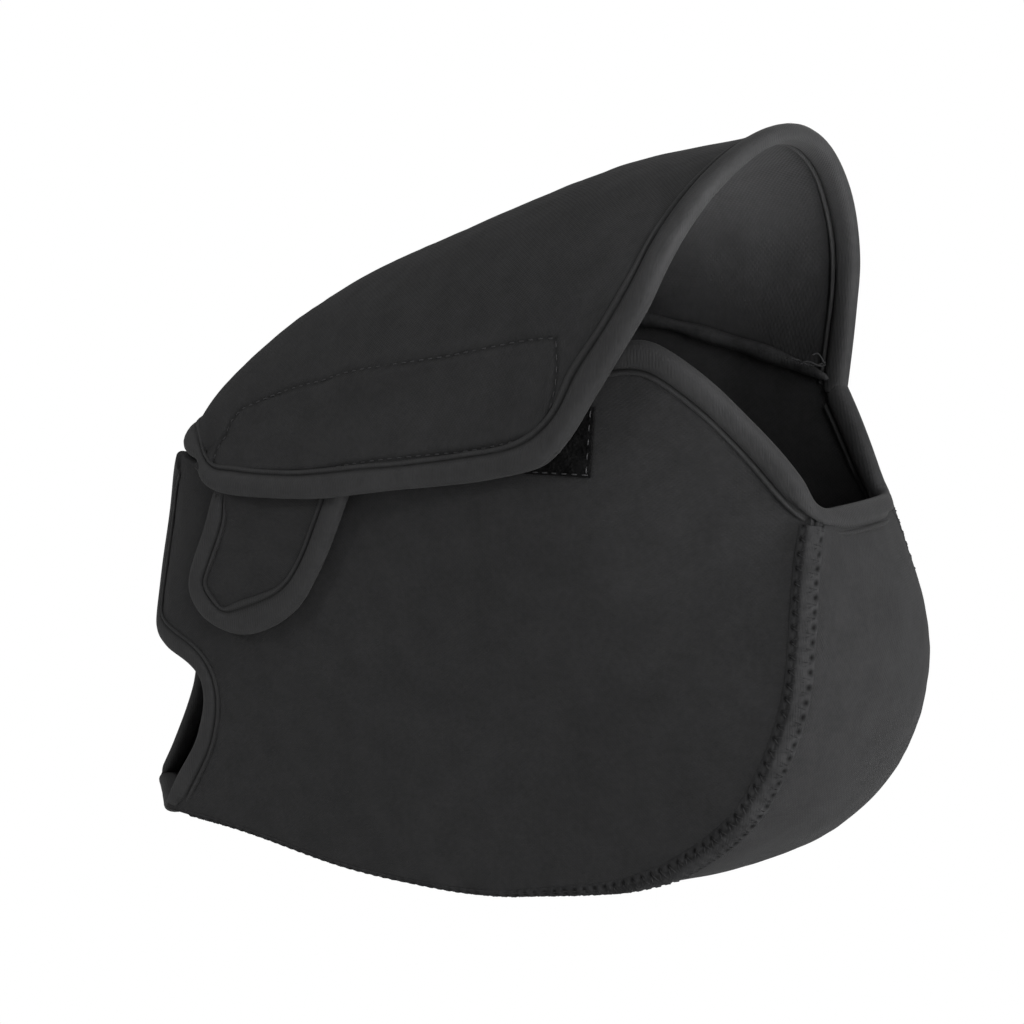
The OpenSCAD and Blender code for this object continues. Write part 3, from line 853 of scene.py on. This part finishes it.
def flat_seam(name, panel, seam, first, last, far):
    """Rounded stitched seam between a side panel and the gusset, with a hole at every stitch."""
    t = np.linspace(first, last, 3000)
    flip = [-1, 1] if far else [1, 1]
    run = run_length(panel(curve(seam, t) * flip))
    s = np.linspace(0, run[-1], int(run[-1] / 0.6))
    t = np.interp(s, run, t)
    place = curve(seam, t) * flip
    d = unit(curve(seam, t - 0.003) * flip - curve(seam, t + 0.003) * flip)
    inward = (-1 if far else 1) * pair(-d[:, 1], d[:, 0])
    angles = np.linspace(0, 30, 61)
    arc = gusset(pair(100 * t[:, None], (180 - angles if far else angles)[None, :]))
    steps = np.linalg.norm(np.diff(arc, axis=1), axis=2)
    reach = np.pad(np.cumsum(steps, axis=1), ((0, 0), (1, 0)))
    rolled = np.zeros(len(t)) if far else 3.0 * ease((t - 0.36) / 0.22)
    height = 0.5 if far else 1.05 - 0.5 * ease((t - 0.36) / 0.22)
    low, high, shade = [], [], []
    for w in SEAM_WIDTHS:
        h, dark = seam_face(w, s, height)
        over = w + rolled
        a = np.array([np.interp(over[k], reach[k], angles) for k in range(len(t))])
        on_panel = place - inward * np.minimum(over, 0)[:, None]
        on_gusset = pair(100 * t, 180 - a if far else a)
        for grid, off in ((high, h), (low, np.full(len(t), HALF - 0.5))):
            grid.append(np.where((over <= 0)[:, None], lift(panel, on_panel, off),
                                 lift(gusset, on_gusset, off)))
        shade.append(dark)
    low, high = np.stack(low, 1), np.stack(high, 1)
    for grid in (low, high):
        for _ in range(2):
            grid[:, 1:-1] = 0.7 * grid[:, 1:-1] + 0.15 * (grid[:, :-2] + grid[:, 2:])
    band = shell(name + "_band", low, high, SEAM, np.stack(shade, 1))
    keep(band, "seam_thread", name)
    cross_threads(name, high, s)


def cross_threads(name, high, s):
    """Covering thread that runs to and fro over the seam, half a stitch long each way."""
    turn = STITCH_PITCH / 2
    path = []
    for k in range(int(s[-1] / turn) - 1):
        for part in (0, 0.25, 0.5, 0.75):
            w = 3 + 10 * part if k % 2 == 0 else 13 - 10 * part
            row = min(int((k + part) * turn / s[-1] * (len(s) - 1)), len(s) - 1)
            column = int(w)
            path.append(mix(high[row, column], high[row, column + 1], w - column))
    keep(thread(name + "_cover_thread", np.array(path), 0.27, SEAM, sides=5), "seam_thread")


def top_seam():
    """Rolled seam inside the hood, with a loose end of thread."""
    a = np.arange(14) * math.tau / 14
    u = np.linspace(46, 98.5, 120)
    swell = 2.1 + 0.25 * np.sin(u / 1.7) + 0.2 * np.sin(u / 4.1)
    swell = swell * np.minimum(1, 0.15 + np.sqrt(np.maximum(98.5 - u, 0) / 6))
    rings = []
    for k, uk in enumerate(u):
        q = np.array([uk, 99.6])
        out = normal(flap, q)
        middle = flap(q) - out * (HALF + 1.7)
        rings.append(middle + out * (np.cos(a) * swell[k])[:, None]
                     + np.array([0, 0, 1.0]) * (np.sin(a) * swell[k] * 1.25)[:, None])
    keep(tube("top_seam_roll", np.array(rings), SEAM), "neoprene", "top_seam")
    end = np.array([97.5, 98.0])
    start = flap(end) - normal(flap, end) * 4 + [2, -1.5, 0.5]
    for k, (dx, dz, r) in enumerate(((-14, -1.2, 0.42), (-9, -2.2, 0.3), (-4, 3.0, 0.3))):
        t = np.linspace(0, 1, 14)[:, None]
        sway = np.array([0, 0, -1.2]) * np.sin(t * 5 + k)
        path = start + np.array([dx, -3.0, dz]) * t + sway
        keep(thread("loose_thread_%d" % k, path, r, SEAM), "seam_thread")


# Hook and loop tapes


def fuzz(p, size):
    """Uneven face of a hook or loop tape."""
    x, y, z = p[..., 0], p[..., 1], p[..., 2]
    return size * (np.sin(x * 2.9 + 3 * np.sin(z * 1.7)) * np.sin(z * 3.3 + 2 * np.sin(x * 1.3 + y))
                   + 0.6 * np.sin(x * 5.1 + z * 4.3) * np.sin(z * 5.7 - x * 4.9 + y))


def patch(name, f, q, low, high, material, node, slot, rough=0.12):
    """A hook or loop tape sewn on the cloth of f, rough on the side away from the cloth."""
    p, n = f(q), normal(f, q)
    tufts = fuzz(p, rough)
    inner, outer = np.full(q.shape[:2], low), np.full(q.shape[:2], high)
    if high > 0:
        outer = outer + tufts
    else:
        inner = inner - tufts
    keep(shell(name, p + n * inner[..., None], p + n * outer[..., None], material), slot, node)


def field(a, b, n, m):
    """Grid of places between two corners."""
    return pair(np.linspace(a[0], b[0], n)[:, None], np.linspace(a[1], b[1], m)[None, :])


def hook_and_loop():
    """The three pairs of hook and loop tape, and the stitches that show."""
    hook_low, hook_high = -HALF - LAY - HOOK, -HALF - LAY
    loop_low, loop_high = HALF + 0.05, HALF + LAY + LOOP
    patch("flap_hook_tape", flap, field((9, 7), (84, 25), 150, 24), hook_low, hook_high,
          HOOK_TAPE, "flap_hook_strip", "hook_tape")
    low = curve(LOOP_LOW, np.linspace(0, 0.91, 150)) + [0, 1.2]
    q = low[:, None] + pair(0.0, np.linspace(0, 23, 60))[None]
    patch("side_loop_tape", near_side, q, loop_low, loop_high, LOOP_TAPE, "side_loop_strip",
          "loop_tape", rough=0.16)
    for k, row in enumerate((q[:, 2], q[-4, :])):
        path = lift(near_side, row, np.full(len(row), loop_high))
        keep(stitches("side_loop_stitches_%d" % k, path, normal(near_side, row), THREAD,
                      radius=0.26), "seam_thread")
    patch("strap_hook_tape", strap, field((22, 12), (78, 32), 40, 30), hook_low, hook_high,
          HOOK_TAPE, "strap_hook_patch", "hook_tape")
    patch("strap_loop_tape", near_side, field((46, 59), (84, 88), 50, 40), loop_low, loop_high,
          LOOP_TAPE, "strap_loop_patch", "loop_tape")
    z = np.linspace(58, 90, 40)[None, :]
    a = np.radians(np.linspace(33.5, 16, 30))[:, None]
    near_places = pair(wrap_x(z) - NEAR_WRAP * a, z + 0 * a)
    patch("tab_hook_tape", near_side, near_places, hook_low, hook_high, HOOK_TAPE,
          "tab_hook_patch", "hook_tape")
    far_places = pair(-(wrap_x(z) - FAR_WRAP * (math.pi - a)), z + 0 * a)
    patch("wrap_loop_tape", far_side, far_places, loop_low, loop_high, LOOP_TAPE,
          "wrap_loop_patch", "loop_tape")


# Camera, light and floor


MIDDLE = Vector((0.15, 0, 0.08))
LAMPS = [("key", (1.5, -0.55, 0.75), 0.9, 16), ("low", (1.3, -0.12, 0.0), 0.4, 8),
         ("top", (0.1, -0.3, 1.7), 1.4, 6), ("fill", (-1.0, -1.2, 0.9), 0.5, 6),
         ("back", (-0.3, 1.6, 0.9), 1.3, 5)]
AMBIENT = 0.16


def aim(thing, place, target):
    """Puts a camera or a lamp at a place, and turns it to its target."""
    thing.location = place
    away = Vector(place) - Vector(target)
    thing.rotation_euler = away.to_track_quat("Z", "Y").to_euler()
    bpy.context.scene.collection.objects.link(thing)


def camera_view():
    """A long lens at the height of the hood, off the front right."""
    azimuth, elevation, distance = math.radians(38), math.radians(14), 0.720
    back = Vector((math.sin(azimuth) * math.cos(elevation),
                   -math.cos(azimuth) * math.cos(elevation), math.sin(elevation)))
    target = Vector((0.167, 0, 0.095))
    data = bpy.data.cameras.new("camera")
    data.sensor_width = 36
    data.lens = 36 * 1960 / 1024
    data.shift_x = -36 / 1024
    camera = bpy.data.objects.new("camera", data)
    aim(camera, target + back * distance, target)
    bpy.context.scene.camera = camera


def surroundings():
    """White to the camera, and a dim even light to everything else."""
    world = bpy.data.worlds.new("studio")
    world.use_nodes = True
    tree = world.node_tree
    background = tree.nodes["Background"]
    background.inputs["Color"].default_value = (1, 1, 1, 1)
    path = add_node(tree, "ShaderNodeLightPath")
    strength = add_node(tree, "ShaderNodeMapRange")
    strength.inputs["To Min"].default_value = AMBIENT
    strength.inputs["To Max"].default_value = 1.0
    tree.links.new(path.outputs["Is Camera Ray"], strength.inputs["Value"])
    tree.links.new(strength.outputs["Result"], background.inputs["Strength"])
    bpy.context.scene.world = world
    bpy.context.scene.view_settings.view_transform = "Standard"
    bpy.context.scene.view_settings.look = "None"


def lamps():
    """Round soft lamps, and a narrow one for the inside of the hood."""
    for name, place, size, power in LAMPS:
        lamp = bpy.data.lights.new(name, "AREA")
        lamp.shape = "DISK"
        lamp.size = size
        lamp.energy = power
        aim(bpy.data.objects.new(name, lamp), place, MIDDLE)
    glow = bpy.data.lights.new("hood_glow", "SPOT")
    glow.energy = 75
    glow.spot_size = math.radians(6)
    glow.spot_blend = 1.0
    glow.shadow_soft_size = 0.03
    aim(bpy.data.objects.new("hood_glow", glow), (0.9, -0.5, -0.03), (0.225, 0.02, 0.212))


def white_floor():
    mesh = bpy.data.meshes.new("floor")
    low = cad_box[0].z - 0.004
    mesh.from_pydata([(-6, -6, low), (6, -6, low), (6, 6, low), (-6, 6, low)], [], [(0, 1, 2, 3)])
    mesh.materials.append(floor_material())
    floor = bpy.data.objects.new("floor", mesh)
    bpy.context.scene.collection.objects.link(floor)


camera_view()
surroundings()
lamps()
white_floor()
near = near_side_panel()
far = far_side_panel()
between_panels = gusset_piece()
hood = top_flap()
tongue = closing_strap()
mouth_binding()
rear_opening_binding()
flap_binding()
strap_binding()
crank_hole_binding()
flat_seam("near_gusset_seam", near_side, NEAR_SEAM, 0.012, 0.955, False)
flat_seam("far_gusset_seam", far_side, FAR_SEAM, 0.012, 0.98, True)
top_seam()
hook_and_loop()
